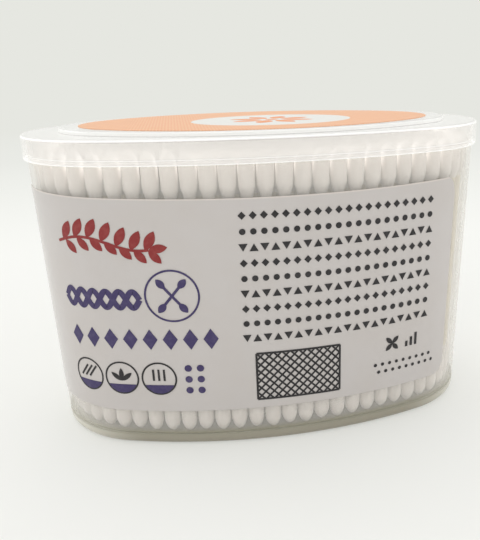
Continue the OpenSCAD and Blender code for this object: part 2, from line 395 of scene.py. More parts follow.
@dataclass(frozen=True)
class OvalWall:
    """The tub's leaning outer wall, an oval of four arcs at every height.

    The sizes are those of the rim. middle is the height at which distances along the wall
    are measured.
    """

    half_len: float = 61.0 * MM
    half_depth: float = 34.5 * MM
    end_radius: float = 29.2 * MM
    rim_height: float = 78.9 * MM
    middle: float = 38.0 * MM
    lean: float = math.radians(1.9)

    @property
    def end_at(self) -> float:
        """Distance of an end arc's centre from the middle of the box."""
        return self.half_len - self.end_radius

    @property
    def side_radius(self) -> float:
        """Radius of the long arcs at the rim."""
        squares = self.end_at ** 2 + self.half_depth ** 2 - self.end_radius ** 2
        return squares / (2 * (self.half_depth - self.end_radius))

    @property
    def side_angle(self) -> float:
        """Half the angle of a long arc."""
        return math.atan2(self.end_at, self.side_radius - self.half_depth)

    def outset(self, height: float) -> float:
        """Returns how far the wall stands outside the rim's oval, which is under 0 below it."""
        return -(self.rim_height - height) * math.tan(self.lean)

    def depth(self, g: Graph, point: Value) -> Value:
        """Works out how deep a point lies under the wall.

        Args:
            g: the graph to build on.
            point: the point.

        Returns:
            Its distance from the wall's outside at its height, in metres.
        """
        x, y, z = g.axes(point)
        past = x.size() - self.end_at
        at_end = g.math("GREATER_THAN", past, y.size() * math.tan(self.side_angle))
        from_end = self.end_radius - (past * past + y * y) ** 0.5
        across = y.size() + (self.side_radius - self.half_depth)
        from_side = self.side_radius - (x * x + across * across) ** 0.5
        level = from_side + (from_end - from_side) * at_end
        return level - (self.rim_height - z) * math.tan(self.lean)

    def point(self, along: float, height: float, off: float) -> Vector:
        """Finds a point over the wall.

        Args:
            along: distance along the front, to the right of its middle.
            height: height above the table.
            off: distance outwards from the wall.

        Returns:
            The point.
        """
        middle = self.outset(self.middle)
        out = self.outset(height) + off
        corner = (self.side_radius + middle) * self.side_angle
        far = abs(along)
        if far <= corner:
            angle = far / (self.side_radius + middle)
            reach = self.side_radius + out
            x = reach * math.sin(angle)
            y = self.side_radius - self.half_depth - reach * math.cos(angle)
        else:
            turn = (far - corner) / (self.end_radius + middle) - (math.pi / 2 - self.side_angle)
            x = self.end_at + (self.end_radius + out) * math.cos(turn)
            y = (self.end_radius + out) * math.sin(turn)
        return Vector((math.copysign(x, along), y, height))


@dataclass(frozen=True)
class Finish:
    """A look that makes its own material."""

    name: str

    def shade(self, g: Graph) -> Value:
        """Builds the finish's shader on a graph and returns it."""
        raise NotImplementedError

    def build(self) -> bpy.types.Material:
        """Returns the material."""
        return new_material(self.name, self.shade)


@dataclass(frozen=True)
class Band:
    """A level stretch of a moulding that looks milkier, whiter or darker than its wall.

    Where it has an end colour, it takes that towards both ends of the box. That colour is
    painted light: lighter on the tub, whose ends let in more light, and darker on the lid's
    skirt, as painted shade that evens out the stronger light on its ends.
    """

    low: float
    high: float
    haze: float
    colour: Colour
    soft: float
    end_painted_light: Colour | None = None


@dataclass(frozen=True)
class HazyPlastic(Finish):
    """Moulded polypropylene that is clear with a milky haze.

    The haze thickens towards the silhouette, as it does where more plastic lies behind a
    point, and in the bands. The glow stands for the light that the milky wall scatters on
    from behind it. Lamps shine through it by lamp_share.
    """

    body: Colour = (0.83, 0.81, 0.765)
    haze: float = 0.22
    edge_haze: float = 0.72
    edge_blend: float = 0.3
    bands: tuple[Band, ...] = ()
    # ends is where a band starts to take its painted end colour, and where it has taken it fully.
    ends: Span = (34.0 * MM, 60.0 * MM)
    glow: float = 0.04
    lamp_share: float = 0.8
    refraction: float = 1.49
    cloud: Grain = Grain(40.0, stretch=(1.0, 1.0, 0.35))
    cloud_haze: float = 0.08
    cloud_from: float = 0.3
    cloud_share: float = 0.3
    cloud_tone: float = 0.96
    frost: Grain = Grain(900.0, 3.0)
    rough: float = 0.20
    rough_more: float = 0.08
    relief: Relief = Relief(0.03 * MM, 0.5, 0.15)

    def shade(self, g: Graph) -> Value:
        """Builds the plastic's shader.

        Args:
            g: the graph to build on.

        Returns:
            The shader.
        """
        point = g.place()
        x, _, z = g.axes(point)
        frost = g.noise(point, self.frost)
        cloud = g.noise(point, self.cloud)
        facing = g.out(g.node("LayerWeight", None, {"Blend": self.edge_blend}), "Facing")
        edge = facing * facing
        haze = self.haze + (self.edge_haze - self.haze) * edge + (cloud - 0.5) * self.cloud_haze
        clouded = cloud.above(self.cloud_from, self.cloud_share)
        colour = g.blend(clouded, self.body, toned(self.body, self.cloud_tone))
        for band in self.bands:
            within = z.band(band.low, band.high, band.soft)
            haze = haze + (band.haze - haze) * within
            tone = band.colour
            # Towards the ends a band takes its end colour, which is painted light on the tub and
            # painted shade on the lid's skirt.
            if band.end_painted_light is not None:
                tone = g.blend(x.size().rise(*self.ends), tone, band.end_painted_light)
            colour = g.blend(within, colour, tone)
        plastic = g.principled({
            "Base Color": colour,
            "Roughness": self.rough + frost * self.rough_more,
            "IOR": self.refraction,
            "Alpha": haze.clamped(),
            "Emission Color": colour,
            "Emission Strength": self.glow,
            "Normal": g.bump(self.relief, frost, cloud),
        })
        clear = g.out(g.node("BsdfTransparent", None, {"Color": (1.0, 1.0, 1.0)}))
        return g.either(g.rays("Shadow") * self.lamp_share, plastic, clear)


@dataclass(frozen=True)
class PaperStock(Finish):
    """Lightly coated paper with short fibres, a faint mottle and a pale cut upper edge.

    The pale edge is a painted highlight, where the cut catches the light. The edge's top is
    its height in the middle of the front. It bows upwards from there, by top_rise at the
    distance rise_at.
    """

    base: Colour
    warm: Colour
    top: float = 65.8 * MM
    top_rise: float = 1.3 * MM
    rise_at: float = 60.0 * MM
    # These set where the painted highlight along the cut edge lies, how strong it is and how pale.
    cut: Span = (0.448 * MM, 0.168 * MM)
    cut_highlight_share: float = 0.8
    cut_highlight_tone: float = 1.3
    mottle: Grain = Grain(90.0, 4.0, 0.55)
    mottle_from: float = 0.35
    fibres: Grain = Grain(2600.0, 2.0, 0.6, (1.0, 1.0, 2.4))
    fibre_share: float = 0.10
    fibre_tone: float = 0.86
    rough: float = 0.55
    rough_more: float = 0.12
    reflection: float = 0.35
    coat_rough: float = 0.14
    relief: Relief = Relief(0.02 * MM, 0.7, 0.6)

    def shade(self, g: Graph) -> Value:
        """Builds the paper's shader.

        Args:
            g: the graph to build on.

        Returns:
            The shader.
        """
        point = g.place()
        x, _, z = g.axes(point)
        below_top = x * x * (self.top_rise / self.rise_at ** 2) + self.top - z
        mottle = g.noise(point, self.mottle)
        fibres = g.noise(point, self.fibres)
        colour = g.blend(mottle.above(self.mottle_from), self.base, self.warm)
        colour = g.blend(fibres * self.fibre_share, colour, toned(self.base, self.fibre_tone))
        # The pale line under the top edge is a painted highlight, where the cut edge catches the
        # light.
        cut_edge_highlight = below_top.rise(*self.cut) * self.cut_highlight_share
        colour = g.blend(cut_edge_highlight, colour, toned(self.warm, self.cut_highlight_tone))
        return g.principled({
            "Base Color": colour,
            "Roughness": self.rough + fibres * self.rough_more,
            "Specular IOR Level": self.reflection,
            "Coat Weight": 1.0,
            "Coat Roughness": self.coat_rough,
            "Normal": g.bump(self.relief, fibres, mottle),
        })


@dataclass(frozen=True)
class StippledSticker(Finish):
    """Glossy sticker paper printed with a fine dot screen in two tones."""

    base: Colour
    dots: Colour
    pitch: float = 1.1 * MM
    dot_edge: Span = (0.05, 0.65)
    dot_share: float = 0.75
    mottle: Grain = Grain(160.0, 3.0)
    mottle_from: float = 0.4
    mottle_share: float = 0.5
    rough: float = 0.30
    rough_more: float = 0.12
    refraction: float = 1.45
    relief: Relief = Relief(0.03 * MM, 0.4)

    def shade(self, g: Graph) -> Value:
        """Builds the sticker's shader.

        Args:
            g: the graph to build on.

        Returns:
            The shader.
        """
        point = g.place()
        x, y, _ = g.axes(point)
        slanted = 2 * math.pi / self.pitch * math.sqrt(0.5)
        across, along = ((x + y) * slanted).sine(), ((x - y) * slanted).sine()
        screen = (across * along).rise(*self.dot_edge)
        mottle = g.noise(point, self.mottle)
        colour = g.blend(screen * self.dot_share, self.base, self.dots)
        colour = g.blend(mottle.above(self.mottle_from, self.mottle_share), colour, self.dots)
        return g.principled({
            "Base Color": colour,
            "Roughness": self.rough + mottle * self.rough_more,
            "IOR": self.refraction,
            "Normal": g.bump(self.relief, mottle),
        })


@dataclass(frozen=True)
class PrintedInk(Finish):
    """Offset ink on paper: even, a little patchy, with the paper's tooth."""

    base: Colour
    thin: Colour
    patches: Grain = Grain(700.0, 3.0, 0.6)
    patch_from: float = 0.45
    patch_share: float = 1.2
    rough: float = 0.45
    rough_more: float = 0.15
    reflection: float = 0.4
    relief: Relief = Relief(0.01 * MM, 0.5)

    def shade(self, g: Graph) -> Value:
        """Builds the ink's shader.

        Args:
            g: the graph to build on.

        Returns:
            The shader.
        """
        patch = g.noise(g.place(), self.patches)
        return g.principled({
            "Base Color": g.blend(patch.above(self.patch_from, self.patch_share),
                                  self.base, self.thin),
            "Roughness": self.rough + patch * self.rough_more,
            "Specular IOR Level": self.reflection,
            "Normal": g.bump(self.relief, patch),
        })


@dataclass(frozen=True)
class WoundCotton(Finish):
    """Bleached cotton wound on a stick: fibres that run round it, and soft fuzz.

    Below their tops, the upper heads carry some of the light that falls in between them from
    above, most of it at the depth under the wall where two heads of the outer ring meet.
    glow_rise, streak_rise and dim_fall are heights above the table.
    """

    base: Colour = (0.85, 0.787, 0.735)
    hollow: Colour = (0.78, 0.707, 0.645)
    fuzz: Colour = (0.95, 0.925, 0.90)
    strands: Grain = Grain(1500.0, 4.0, 0.65, (1.0, 1.0, 2.6))
    strand_share: float = 0.35
    tufts: Grain = Grain(420.0, 3.0, 0.6)
    tuft_from: float = 0.35
    tuft_share: float = 1.3
    wall: OvalWall = OvalWall()
    glow: float = 0.06
    glow_rise: Span = (67.0 * MM, 75.0 * MM)
    dim_fall: Span = (77.0 * MM, 75.2 * MM)
    streak: float = 0.46
    streak_rise: Span = (68.5 * MM, 74.5 * MM)
    streak_near: float = 2.0 * MM
    streak_deep: float = 3.2 * MM
    streak_gone: float = 8.0 * MM
    rough: float = 0.85
    rough_more: float = 0.15
    reflection: float = 0.1
    sheen: float = 0.5
    sheen_rough: float = 0.5
    relief: Relief = Relief(0.12 * MM, 0.8, 0.6)

    def light(self, g: Graph, point: Value) -> Value:
        """Works out the light that a point carries.

        Args:
            g: the graph to build on.
            point: the point.

        Returns:
            Its strength.
        """
        _, _, z = g.axes(point)
        depth = self.wall.depth(g, point)
        between = depth.rise(self.streak_near, self.streak_deep)
        between = between * depth.rise(self.streak_gone, self.streak_deep)
        streak = between * z.rise(*self.streak_rise) * self.streak
        return (z.rise(*self.glow_rise) * self.glow + streak) * z.rise(*self.dim_fall)

    def shade(self, g: Graph) -> Value:
        """Builds the cotton's shader.

        Args:
            g: the graph to build on.

        Returns:
            The shader.
        """
        point = g.place()
        strands = g.noise(point, self.strands)
        tufts = g.noise(point, self.tufts)
        colour = g.blend(tufts.above(self.tuft_from, self.tuft_share), self.base, self.hollow)
        return g.principled({
            "Base Color": g.blend(strands * self.strand_share, colour, self.fuzz),
            "Roughness": self.rough + strands * self.rough_more,
            "Specular IOR Level": self.reflection,
            "Sheen Weight": self.sheen,
            "Sheen Roughness": self.sheen_rough,
            "Emission Color": g.blend(self.light(g, point), (0.0, 0.0, 0.0), self.fuzz),
            "Emission Strength": 1.0,
            "Normal": g.bump(self.relief, strands, tufts),
        })


@dataclass(frozen=True)
class RolledPaper(Finish):
    """A paper stick, rolled from a strip, so that a faint seam winds round it."""

    base: Colour = (0.74, 0.645, 0.47)
    pale: Colour = (0.80, 0.72, 0.56)
    grain: Grain = Grain(1800.0, 3.0, 0.6, (1.0, 1.0, 0.12))
    wander: Grain = Grain(60.0)
    wander_by: float = 6.0
    seam_up: float = 900.0
    seam_across: float = 2200.0
    seam_edge: Span = (0.72, 0.98)
    seam_share: float = 0.18
    seam_tone: float = 0.7
    rough: float = 0.6
    rough_more: float = 0.2
    reflection: float = 0.3
    relief: Relief = Relief(0.04 * MM, 0.7, 0.5)

    def shade(self, g: Graph) -> Value:
        """Builds the stick's shader.

        Args:
            g: the graph to build on.

        Returns:
            The shader.
        """
        point = g.place()
        x, y, z = g.axes(point)
        wander = g.noise(point, self.wander)
        wave = z * self.seam_up + (x + y) * self.seam_across + wander * self.wander_by
        seam = wave.sine().rise(*self.seam_edge)
        grain = g.noise(point, self.grain)
        colour = g.blend(grain, self.base, self.pale)
        colour = g.blend(seam * self.seam_share, colour, toned(self.base, self.seam_tone))
        return g.principled({
            "Base Color": colour,
            "Roughness": self.rough + grain * self.rough_more,
            "Specular IOR Level": self.reflection,
            "Normal": g.bump(self.relief, grain, seam * -1.0),
        })


def new_piece(name: str, points: Sequence[Any], faces: Sequence[Sequence[int]],
              material: bpy.types.Material, smooth: bool = True) -> bpy.types.Object:
    """Makes a mesh piece in the scene.

    Args:
        name: the piece's name.
        points: its vertices, in metres, in the frame's axes.
        faces: vertex numbers of each face.
        material: its finish.
        smooth: whether its faces are shaded smooth.

    Returns:
        The new object, at the origin.
    """
    mesh = bpy.data.meshes.new(name)
    mesh.from_pydata([tuple(p) for p in points], [], [tuple(f) for f in faces])
    mesh.materials.append(material)
    mesh.polygons.foreach_set("use_smooth", [smooth] * len(mesh.polygons))
    mesh.update()
    piece = bpy.data.objects.new(name, mesh)
    bpy.context.scene.collection.objects.link(piece)
    return piece


def dress(node: str, material: bpy.types.Material) -> None:
    """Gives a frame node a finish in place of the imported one.

    Args:
        node: the node's name.
        material: the finish.
    """
    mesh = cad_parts[node].data
    for number in range(len(mesh.materials)):
        mesh.materials[number] = material
    if not mesh.materials:
        mesh.materials.append(material)


def full_turn(count: int) -> np.ndarray:
    """Returns evenly spaced angles all round, in radians."""
    return np.linspace(0, 2 * math.pi, count, endpoint=False)


def heading(turn: float) -> np.ndarray:
    """Returns the flat unit vector of a direction, in degrees anticlockwise from +X."""
    return np.array([math.cos(math.radians(turn)), math.sin(math.radians(turn))])


def between(start: Any, stop: Any, count: int) -> list[Point2]:
    """Returns evenly spaced points from one flat point to another."""
    first, last = np.array(start), np.array(stop)
    return [tuple(first + (last - first) * t) for t in np.linspace(0, 1, count)]


def oval(x: float, y: float, half: Point2, angles: Iterable[float]) -> list[Point2]:
    """Returns the points of an oval round a centre at some angles, in radians."""
    return [(x + half[0] * math.cos(a), y + half[1] * math.sin(a)) for a in angles]


@dataclass
class PrintLayer:
    """Shapes of one ink, drawn flat in millimetres and laid on a sheet.

    lay maps a flat point, in metres, to the point on the sheet, and longest is the longest
    edge that still follows the sheet's bend. Edges are halved at most halvings times. The
    steps are the fewest corners that round shapes have, and those that they have to a
    millimetre of radius besides.
    """

    name: str
    ink: bpy.types.Material
    body: str
    lay: Callable[[float, float], Vector]
    slot: str
    longest: float = 1.3 * MM
    halvings: int = 6
    disc_steps: tuple[int, int] = (10, 6)
    ring_steps: tuple[int, int] = (24, 10)
    leaf_steps: int = 9
    leaf_swell: float = 0.8
    outlines: list[list[Point2]] = field(default_factory=list)

    def shape(self, points: Iterable[Point2]) -> None:
        """Adds a filled shape with its corners in order, anticlockwise."""
        self.outlines.append(list(points))

    def lozenge(self, x: float, y: float, half_width: float, half_height: float) -> None:
        """Adds an upright lozenge."""
        self.shape([(x - half_width, y), (x, y - half_height),
                    (x + half_width, y), (x, y + half_height)])

    def triangle(self, x: float, y: float, half: Point2, upright: bool) -> None:
        """Adds a triangle.

        Args:
            x: its middle along the sheet.
            y: its middle height.
            half: half its width and half its height.
            upright: whether it points up.
        """
        up = half[1] if upright else -half[1]
        corners = [(x - half[0], y - up), (x + half[0], y - up), (x, y + up)]
        self.shape(corners if upright else corners[::-1])

    def disc(self, x: float, y: float, radius: float, start: float = 0.0,
             stop: float = 360.0) -> None:
        """Adds a disc, or the piece of one that a chord cuts off.

        Args:
            x: its centre along the sheet.
            y: its centre's height.
            radius: its radius.
            start: the direction of the piece's first corner, in degrees.
            stop: the direction of its last one.
        """
        fewest, finer = self.disc_steps
        steps = int(fewest + radius * finer)
        angles = np.radians(np.linspace(start, stop, steps + 1))
        if stop - start >= 360:
            angles = angles[:-1]
        self.shape(oval(x, y, (radius, radius), angles))

    def stroke(self, points: Sequence[Point2], width: float, closed: bool = False) -> None:
        """Adds a line of even width.

        Args:
            points: the line's middle.
            width: its width.
            closed: whether its end joins its start.
        """
        middle = np.array(points, float)
        if closed:
            ahead = np.roll(middle, -1, 0) - np.roll(middle, 1, 0)
        else:
            ahead = np.gradient(middle, axis=0)
        ahead /= np.linalg.norm(ahead, axis=1, keepdims=True)
        side = np.stack([-ahead[:, 1], ahead[:, 0]], 1) * (width / 2)
        left, right = middle + side, middle - side
        count = len(middle)
        for i in range(count if closed else count - 1):
            j = (i + 1) % count
            self.shape([tuple(right[i]), tuple(right[j]), tuple(left[j]), tuple(left[i])])

    def ring(self, x: float, y: float, radius: float, width: float) -> None:
        """Adds a round line.

        Args:
            x: its centre along the sheet.
            y: its centre's height.
            radius: its radius.
            width: the line's width.
        """
        fewest, finer = self.ring_steps
        angles = full_turn(max(fewest, int(radius * finer)))
        self.stroke(oval(x, y, (radius, radius), angles), width, closed=True)

    def leaf(self, x: float, y: float, length: float, width: float, turn: float) -> None:
        """Adds a pointed leaf.

        Args:
            x: its root along the sheet.
            y: its root's height.
            length: its length.
            width: its greatest width.
            turn: the direction it grows in, in degrees.
        """
        ahead = heading(turn)
        side = np.array([-ahead[1], ahead[0]])
        shares = np.linspace(0, 1, self.leaf_steps)
        swell = width / 2 * np.sin(shares * math.pi) ** self.leaf_swell
        middle = np.array([x, y]) + np.outer(shares * length, ahead)
        off = np.outer(swell, side)
        self.shape([tuple(p) for p in (*(middle - off), *(middle + off)[-2:0:-1])])

    def build(self) -> bpy.types.Object:
        """Lays the layer on its sheet.

        Returns:
            Its piece.
        """
        work = bmesh.new()
        for outline in self.outlines:
            corners = [work.verts.new((px * MM, py * MM, 0.0)) for px, py in outline]
            work.faces.new(corners)
        bmesh.ops.triangulate(work, faces=work.faces[:])
        for _ in range(self.halvings):
            long_edges = [e for e in work.edges if e.calc_length() > self.longest]
            if not long_edges:
                break
            bmesh.ops.subdivide_edges(work, edges=long_edges, cuts=1)
            bmesh.ops.triangulate(work, faces=work.faces[:])
        points = [self.lay(v.co.x, v.co.y) for v in work.verts]
        work.verts.index_update()
        faces = [[v.index for v in f.verts] for f in work.faces]
        work.free()
        piece = new_piece(self.name, points, faces, self.ink)
        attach(piece, self.body)
        log.info("%s: %d printed shapes, %d faces", self.name, len(self.outlines), len(faces))
        return piece


class Motif:
    """A shape of the print, or some that go together."""

    def draw(self, layer: PrintLayer) -> None:
        """Draws the motif on a layer."""
        raise NotImplementedError


@dataclass(frozen=True)
class Wavy:
    """A wavy line of even width, whose bends are radians of the wave over its length."""

    start: Point2
    length: float
    height: float
    bends: float
    width: float
    steps: int

    def points(self, shift: float = 0.0) -> list[Point2]:
        """Returns the line's middle, with the wave shifted by an angle."""
        return [(self.start[0] + self.length * t,
                 self.start[1] + self.height * math.sin(t * self.bends + shift))
                for t in np.linspace(0, 1, self.steps)]


@dataclass(frozen=True)
class Sprig(Motif):
    """A lying sprig with paired leaves, each given by its length, width and direction."""

    stem: Wavy = Wavy((-55.0, 55.2), 24.0, 1.6, 5.2, 0.7, 28)
    joints: tuple[int, ...] = tuple(range(2, 27, 4))
    upper: tuple[float, float, float] = (5.4, 2.5, 62.0)
    lower: tuple[float, float, float] = (4.4, 2.1, -48.0)
    last: tuple[float, float, float] = (4.6, 2.2, 8.0)
    apart: float = 0.8

    def draw(self, layer: PrintLayer) -> None:
        """Draws the sprig.

        Args:
            layer: the layer to draw on.
        """
        stem = self.stem.points()
        layer.stroke(stem, self.stem.width)
        for x, y in (stem[joint] for joint in self.joints):
            layer.leaf(x, y, *self.upper)
            layer.leaf(x + self.apart, y, *self.lower)
        layer.leaf(*stem[-1], *self.last)


@dataclass(frozen=True)
class Plait(Motif):
    """A bold plait of two waves over a row of lozenges."""

    wave: Wavy = Wavy((-55.0, 41.0), 20.5, 2.1, 6 * math.pi, 1.5, 90)
    first: Point2 = (-53.3, 30.4)
    lozenges: int = 8
    pitch: float = 5.1
    half: Point2 = (1.9, 2.8)

    def draw(self, layer: PrintLayer) -> None:
        """Draws the plait and its row.

        Args:
            layer: the layer to draw on.
        """
        for shift in (0.0, math.pi):
            layer.stroke(self.wave.points(shift), self.wave.width)
        for number in range(self.lozenges):
            layer.lozenge(self.first[0] + number * self.pitch, self.first[1], *self.half)


@dataclass(frozen=True)
class CrossedSwabs(Motif):
    """Two crossed swabs in a round line."""

    centre: Point2 = (-26.4, 42.0)
    radius: float = 6.6
    line: float = 0.5
    turns: tuple[float, ...] = (50.0, 130.0)
    half_stick: float = 2.9
    stick: float = 0.7
    head: Point2 = (3.2, 1.9)
    overlap: float = 0.4
    steps: int = 6

    def draw(self, layer: PrintLayer) -> None:
        """Draws the swabs and their ring.

        Args:
            layer: the layer to draw on.
        """
        layer.ring(*self.centre, self.radius, self.line)
        for turn in self.turns:
            arm = heading(turn) * self.half_stick
            near, end = np.array(self.centre) - arm, np.array(self.centre) + arm
            layer.stroke(between(near, end, self.steps), self.stick)
            for tip, back in ((end, turn), (near, turn + 180)):
                layer.leaf(*(tip - heading(back) * self.overlap), *self.head, back)


class Sign(Enum):
    """What a roundel shows over its filled part, from the left."""

    LEANING_BARS = "leaning bars"
    LEAVES = "leaves"
    UPRIGHT_BARS = "upright bars"


@dataclass(frozen=True)
class Roundels:
    """Three roundels whose lower part is filled, with a sign over it."""

    first: Point2 = (-51.4, 19.5)
    pitch: float = 9.9
    radius: float = 4.4
    line: float = 0.45
    gap: float = 0.1
    filled: Span = (205.0, 335.0)
    leaf_turns: tuple[float, ...] = (40.0, 90.0, 140.0)
    leaf: Point2 = (3.6, 1.3)
    leaf_drop: float = 0.8
    bars: tuple[float, ...] = (-1.4, 0.0, 1.4)
    bar_span: Span = (-0.6, 2.6)
    bar: float = 0.55
    lean: float = 1.3

    def draw_sign(self, layer: PrintLayer, sign: Sign, x: float, y: float) -> None:
        """Draws one roundel's sign.

        Args:
            layer: the layer to draw on.
            sign: which one.
            x: the roundel's centre along the sheet.
            y: its centre's height.
        """
        if sign is Sign.LEAVES:
            for turn in self.leaf_turns:
                layer.leaf(x, y - self.leaf_drop, *self.leaf, turn)
            return
        lean = self.lean if sign is Sign.LEANING_BARS else 0.0
        for bar in self.bars:
            foot = (x + bar - lean, y + self.bar_span[0])
            head = (x + bar + lean, y + self.bar_span[1])
            layer.stroke([foot, head], self.bar)

    def draw(self, line: PrintLayer, fill: PrintLayer) -> None:
        """Draws the roundels.

        Args:
            line: the layer for rings and signs.
            fill: the layer for the filled parts.
        """
        for number, sign in enumerate(Sign):
            x, y = self.first[0] + number * self.pitch, self.first[1]
            line.ring(x, y, self.radius, self.line)
            fill.disc(x, y, self.radius - self.gap, *self.filled)
            self.draw_sign(line, sign, x, y)


@dataclass(frozen=True)
class Dots(Motif):
    """Rows of dots. row_step leads from the first dot of a row to that of the next."""

    first: Point2
    columns: int
    rows: int
    pitch: float
    row_step: Point2
    radius: float

    def draw(self, layer: PrintLayer) -> None:
        """Draws the dots.

        Args:
            layer: the layer to draw on.
        """
        for row in range(self.rows):
            for column in range(self.columns):
                x = self.first[0] + column * self.pitch + row * self.row_step[0]
                layer.disc(x, self.first[1] + row * self.row_step[1], self.radius)


class Bead(Enum):
    """What a row of the beaded panel is made of, in the order of the rows."""

    LOZENGE = "lozenge"
    DISC = "disc"
    TRIANGLE = "triangle"


@dataclass(frozen=True)
class BeadedPanel(Motif):
    """A block of close rows, by turns of lozenges, discs and triangles up and down."""

    first: Point2 = (-8.6, 61.6)
    columns: int = 20
    rows: int = 9
    pitch: float = 2.62
    drop: float = 3.95
    lozenge: Point2 = (0.95, 1.0)
    disc: float = 0.78
    triangle: Point2 = (1.1, 0.95)

    def draw(self, layer: PrintLayer) -> None:
        """Draws the panel.

        Args:
            layer: the layer to draw on.
        """
        beads = list(Bead)
        for row in range(self.rows):
            y = self.first[1] - row * self.drop
            bead = beads[row % len(beads)]
            for column in range(self.columns):
                x = self.first[0] + column * self.pitch
                if bead is Bead.LOZENGE:
                    layer.lozenge(x, y, *self.lozenge)
                elif bead is Bead.DISC:
                    layer.disc(x, y, self.disc)
                else:
                    layer.triangle(x, y, self.triangle, column % 2 == 1)


@dataclass(frozen=True)
class Lattice(Motif):
    """A framed diamond lattice."""

    left: float = -6.5
    right: float = 15.5
    low: float = 12.6
    high: float = 25.6
    pitch: float = 2.2
    frame_line: float = 0.55
    bar_line: float = 0.5
    frame_steps: int = 18
    bar_steps: int = 12
    shortest: float = 0.03

    def draw(self, layer: PrintLayer) -> None:
        """Draws the frame, and the slanted lines that cross the field within it.

        Args:
            layer: the layer to draw on.
        """
        left, right, low, high = self.left, self.right, self.low, self.high
        corners = [(left, low), (right, low), (right, high), (left, high)]
        for start, stop in zip(corners, corners[1:] + corners[:1]):
            layer.stroke(between(start, stop, self.frame_steps), self.frame_line)
        depth = high - low
        for number in range(-math.ceil(depth / self.pitch), round((right - left) / self.pitch)):
            x = left + number * self.pitch
            first, last = max(0.0, (left - x) / depth), min(1.0, (right - x) / depth)
            if last - first <= self.shortest:
                continue
            for y, rise in ((low, depth), (high, -depth)):
                ends = [(x + t * depth, y + t * rise) for t in (first, last)]
                layer.stroke(between(*ends, self.bar_steps), self.bar_line)


@dataclass(frozen=True)
class Blossom(Motif):
    """Pointed petals that stand evenly round a centre, with a gap in the middle."""

    centre: Point2
    petals: int
    length: float
    width: float
    gap: float = 0.0

    def draw(self, layer: PrintLayer) -> None:
        """Draws the petals.

        Args:
            layer: the layer to draw on.
        """
        for number in range(self.petals):
            turn = (number + 0.5) * 360 / self.petals
            root = np.array(self.centre) + heading(turn) * self.gap
            layer.leaf(*root, self.length, self.width, turn)


@dataclass(frozen=True)
class Bars(Motif):
    """Upright bars on one line, each taller than the one before."""

    foot: Point2 = (35.2, 21.4)
    count: int = 3
    pitch: float = 1.5
    width: float = 0.8
    height: float = 1.6
    taller: float = 1.0

    def draw(self, layer: PrintLayer) -> None:
        """Draws the bars.

        Args:
            layer: the layer to draw on.
        """
        low = self.foot[1]
        for number in range(self.count):
            left = self.foot[0] + number * self.pitch
            right, high = left + self.width, low + self.height + number * self.taller
            layer.shape([(left, low), (right, low), (right, high), (left, high)])


@dataclass
class FrontLabel:
    """The paper round the front wall, with its printed fields and simple shapes."""

    wall: OvalWall = OvalWall()
    over: float = 0.24 * MM
    stock: PaperStock = PaperStock("label paper", linear(200, 195, 192), linear(195, 187, 180))
    red: PrintedInk = PrintedInk("brick red ink", linear(138, 42, 42), linear(170, 90, 84))
    purple: PrintedInk = PrintedInk("plum ink", linear(62, 52, 96), linear(104, 96, 128))
    black: PrintedInk = PrintedInk("black ink", linear(38, 36, 38), linear(84, 82, 82))
    sprig: Sprig = Sprig()
    roundels: Roundels = Roundels()
    purple_shapes: tuple[Motif, ...] = (Plait(), CrossedSwabs())
    six_dots: Dots = Dots((-23.9, 16.2), 2, 3, 3.1, (0.0, 3.1), 0.95)
    black_shapes: tuple[Motif, ...] = (
        BeadedPanel(), Lattice(), Blossom((31.0, 23.2), 4, 2.7, 1.3), Bars(),
        Dots((26.0, 17.6), 9, 2, 2.2, (1.1, -2.2), 0.5))

    def lay(self, x: float, y: float) -> Vector:
        """Returns the point on the label over a flat point of its artwork."""
        return self.wall.point(x, y, self.over)

    def layer(self, name: str, ink: PrintedInk) -> PrintLayer:
        """Returns an empty layer of one ink."""
        return PrintLayer(name, ink.build(), BOX_BODY, self.lay, "label_paper")

    def build(self) -> None:
        """Dresses the label and lays its print on it."""
        dress("front_label", self.stock.build())
        red = self.layer("label_red_sprig", self.red)
        purple = self.layer("label_plum_shapes", self.purple)
        black = self.layer("label_black_shapes", self.black)
        self.sprig.draw(red)
        for motif in self.purple_shapes:
            motif.draw(purple)
        self.roundels.draw(black, purple)
        self.six_dots.draw(purple)
        for motif in self.black_shapes:
            motif.draw(black)
        for layer in (red, purple, black):
            layer.build()


@dataclass
class LidSticker:
    """The coloured oval on the lid, with a pale oval field and a plain blossom."""

    over: float = 0.003 * MM
    longest: float = 6 * MM
    field_half: Point2 = (21.6, 18.5)
    field_steps: int = 72
    blossom: Blossom = Blossom((3.4, -4.0), 8, 9.0, 4.4, 2.8)
    heart: float = 1.7
    stock: StippledSticker = StippledSticker(
        "orange sticker", linear(230, 160, 112), linear(238, 196, 154))
    pale: PrintedInk = PrintedInk("white ink", linear(220, 221, 217), linear(217, 212, 203))
    accent: PrintedInk = PrintedInk("deep orange ink", linear(226, 146, 100), linear(234, 176, 134))

    def layer(self, name: str, ink: PrintedInk, over: float) -> PrintLayer:
        """Prepares an empty layer.

        Args:
            name: the layer's name.
            ink: its ink.
            over: how far it lies over the sticker.

        Returns:
            The layer.
        """
        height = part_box("lid_sticker")[1].z + over
        return PrintLayer(name, ink.build(), LID_BODY, lambda x, y: Vector((x, y, height)),
                          "sticker_paper", self.longest)

    def build(self) -> None:
        """Dresses the sticker and lays its print on it."""
        dress("lid_sticker", self.stock.build())
        pale = self.layer("sticker_pale_field", self.pale, self.over)
        pale.shape(oval(*self.blossom.centre, self.field_half, full_turn(self.field_steps)))
        pale.build()
        blossom = self.layer("sticker_blossom", self.accent, 2 * self.over)
        self.blossom.draw(blossom)
        blossom.disc(*self.blossom.centre, self.heart)
        blossom.build()


@dataclass
class Placed:
    """Where one plain head stands: its tip, the way to its neck, and its length."""

    tip: Vector
    ahead: Vector
    length: float


